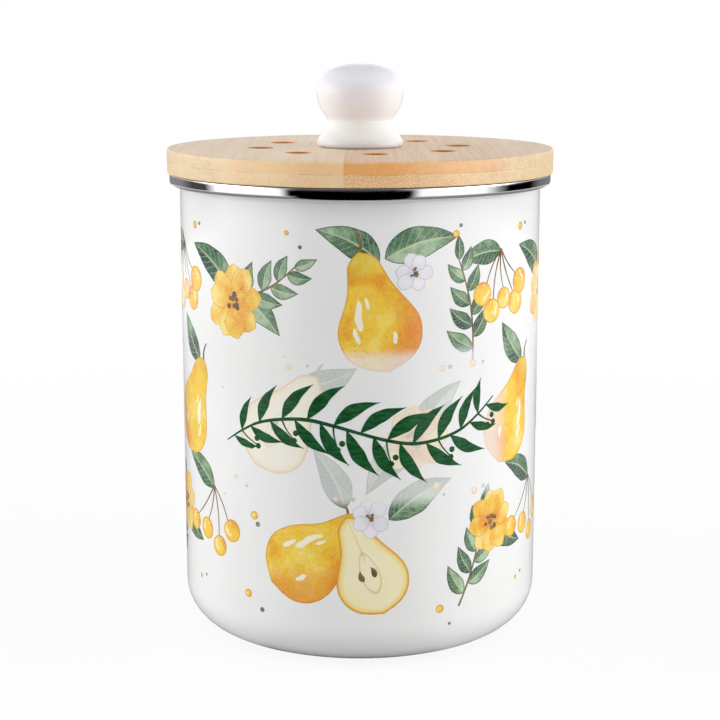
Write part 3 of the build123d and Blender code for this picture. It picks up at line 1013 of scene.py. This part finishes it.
leaf_finish, ink, place, u, v, chance, inset = ink_wires("leaf_ink")
wash = place.noise(70, 4, 0.6) + (chance - 0.5) * 0.18 + v.rise(-0.05, 0.05) * 0.16 - 0.05
green = wash.ramp(
    (0.30, screen(30, 70, 56)), (0.42, screen(52, 98, 72)), (0.50, screen(84, 128, 90)),
    (0.52, screen(70, 114, 80)), (0.64, screen(132, 168, 126)), (0.80, screen(190, 210, 182)),
)
vein_turns = u * 9 - abs(v) * 1.7
veins = vein_turns.maths("PINGPONG", vein_turns, 0.5).rise(0.40, 0.49)
rib = abs(v).rise(0.11, 0.03)
green = (veins * 0.45).mix(green, screen(196, 212, 176))
green = (rib * 0.7).mix(green, screen(206, 218, 180))
green = (inset.rise(0.85, 0.05) * 0.72).mix(green, screen(34, 70, 52))
green = (u.rise(0.80, 1.0) * chance.rise(0.55, 0.7) * 0.6).mix(green, screen(120, 84, 60))
fired(ink, place, green, 0.16)
laid("print_leaves", leaf_inks, leaf_finish)

fruit_finish, ink, place, u, v, chance, inset = ink_wires("fruit_ink")
wash = place.noise(62, 4, 0.6) + (chance - 0.5) * 0.12
gold = wash.ramp(
    (0.32, screen(240, 160, 20)), (0.40, screen(248, 190, 34)), (0.48, screen(252, 212, 60)),
    (0.51, screen(250, 202, 50)), (0.60, screen(254, 226, 96)), (0.62, screen(253, 216, 78)),
    (0.74, screen(255, 242, 170)),
)
blush = (v * 0.5 + place.noise(80, 3) + 0.15 - u * 1.3).rise(0.15, 0.75)
gold = (blush * 0.7).mix(gold, screen(238, 138, 34))
gold = (u.rise(0.72, 1.0) * 0.4).mix(gold, screen(196, 196, 84))
bent = v + (place.noise(90, 2) - 0.5) * 0.35
for along, across, length, width in (
    (0.50, -0.46, 0.13, 0.09), (0.34, -0.60, 0.07, 0.06), (0.58, -0.24, 0.05, 0.05), (0.26, 0.34, 0.05, 0.07),
):
    away = (u - along) / length
    aside = (bent - across) / width
    gold = ((away * away + aside * aside).rise(1.1, 0.8) * 0.9).mix(gold, screen(255, 252, 240))
freckles = place.cells(620).rise(0.24, 0.14) * place.noise(70, 2).rise(0.42, 0.62) * u.rise(0.62, 0.25)
gold = (freckles * 0.75).mix(gold, screen(198, 98, 30))
gold = (inset.rise(0.9, 0.05) * 0.6).mix(gold, screen(216, 130, 30))
fired(ink, place, gold, 0.14)
laid("print_fruit", fruit_inks, fruit_finish)

flesh_finish, ink, place, u, v, _, inset = ink_wires("flesh_ink")
cream = place.noise(70, 3, 0.55).mix(screen(253, 238, 178), screen(255, 249, 224))
cream = (inset.rise(3.4, 1.4) * 0.7).mix(cream, screen(250, 222, 120))
core_y = (u - 0.42) * 2.4
core_reach = v * v * 5.5 + core_y * core_y * 1.6
core = core_reach.rise(0.46, 0.38) * (1 - core_reach.rise(0.36, 0.28))
cream = (core * 0.55).mix(cream, screen(228, 178, 84))
cream = (abs(v).rise(0.05, 0.01) * u.rise(0.50, 0.60) * 0.5).mix(cream, screen(222, 176, 88))
cream = inset.rise(1.25, 0.55).mix(cream, screen(240, 178, 44))
cream = (inset.rise(0.35, 0.05) * 0.7).mix(cream, screen(206, 120, 36))
fired(ink, place, cream, 0.10)
laid("print_cut_fruit", flesh_inks, flesh_finish)

flower_finish, ink, place, u, v, chance, inset = ink_wires("flower_ink")
wash = place.noise(90, 3, 0.55) + (chance - 0.5) * 0.14 + u * 0.22
sunny = wash.ramp(
    (0.34, screen(226, 122, 34)), (0.48, screen(240, 164, 44)), (0.62, screen(249, 200, 74)),
    (0.76, screen(253, 226, 128)),
)
streaks = v.maths("PINGPONG", v * 3.2 + place.noise(300, 2), 0.5).rise(0.30, 0.46)
sunny = (streaks * u.rise(0.9, 0.2) * 0.35).mix(sunny, screen(214, 112, 34))
sunny = (inset.rise(0.55, 0.05) * 0.5).mix(sunny, screen(214, 126, 30))
fired(ink, place, sunny, 0.14)
laid("print_flowers", flower_inks, flower_finish)

pale_finish, ink, place, u, _, chance, inset = ink_wires("pale_flower_ink")
wash = place.noise(120, 3, 0.55) + (chance - 0.5) * 0.2
milky = wash.mix(screen(232, 229, 240), screen(253, 252, 253))
milky = (u.rise(0.55, 0.05) * 0.45).mix(milky, screen(204, 200, 218))
milky = (inset.rise(0.50, 0.05) * 0.55).mix(milky, screen(172, 168, 196))
fired(ink, place, milky, 0.06)
laid("print_pale_flowers", pale_inks, pale_finish)

twig_finish, ink, place, *_ = ink_wires("twig_ink")
brown = place.noise(200, 3).rise(0.3, 0.7).mix(screen(92, 66, 44), screen(150, 116, 72))
fired(ink, place, brown, 0.10)
laid("print_twigs", twig_inks, twig_finish)


# Front ornament: a leafy sprig with berries, brushed in one dark green ink and fired with the
# pattern. It lies over the pattern's paler panel.
sprig_inks = Inks(41)


def brushed(points, marks, columns=6):
    """One stroke of the brush along a smooth line, with the half-widths at its marks."""
    line = through(points, 10)
    widths = np.interp(np.linspace(0, 1, len(line)), np.linspace(0, 1, len(marks)), marks)
    sprig_inks.swept(line, widths, at(0, 0), lift=0.10, wobble=0.08, columns=columns)


sprig_height = 104.0
sprig_marks = ((-62, -9), (-44, 1), (-22, 4), (0, -1), (22, -6), (44, -2), (62, 10))
stem = through([(across, sprig_height + up) for across, up in sprig_marks], 12)
brushed(stem[::6], (0.25, 0.6, 0.8, 0.65, 0.8, 0.6, 0.25))
for k in range(3, len(stem) - 3, 3):
    (x, y), (next_x, next_y) = stem[k], stem[k + 1]
    heading = -90 + np.degrees(np.arctan2(next_y - y, next_x - x))
    side = 1 if k % 2 else -1
    fullness = 0.62 + 0.5 * sin(pi * k / len(stem)) + sprig_inks.dice.uniform(-0.06, 0.06)
    spot = at(x, y, heading - side * sprig_inks.dice.uniform(36, 46), fullness)
    blade = 2.5 * np.sin(pi * np.linspace(0, 1, 17) ** 0.8) ** 1.3
    spine = bent_spine(20.5, side * 2.6, 16)
    sprig_inks.swept(spine, blade, spot, lift=0.10 + 0.002 * (k % 4), wobble=0.12, columns=6)
    if k % 12 == 6:
        bud = at(x, y, heading + side * 62)
        stalk = [within(bud, across, up)[:2] for across, up in ((0, 0), (0.6, 4), (0.4, 9))]
        brushed(stalk, (0.4, 0.3, 0.25), columns=4)
        for across, up in ((0.4, 10.2), (-2.0, 8.0), (2.6, 7.4)):
            dot(within(bud, across, up), 1.25, sprig_inks, 0.105)
sprig_finish, ink, place, *_, inset = ink_wires("sprig_ink")
brush_marks = place.stretched(0.5, 0.5, 2.2).noise(420, 4, 0.6).rise(0.35, 0.7)
dark_green = brush_marks.mix(screen(22, 74, 40), screen(44, 104, 60))
dark_green = (inset.rise(0.4, 0.05) * 0.35).mix(dark_green, screen(14, 56, 30))
ink.surface(dark_green, roughness=0.09, others={"IOR": 1.52})
laid("print_front_sprig", sprig_inks, sprig_finish, 1)


for name, box in (("cad_box", cad_box), ("visual_box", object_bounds())):
    print(name, [list(corner) for corner in box])
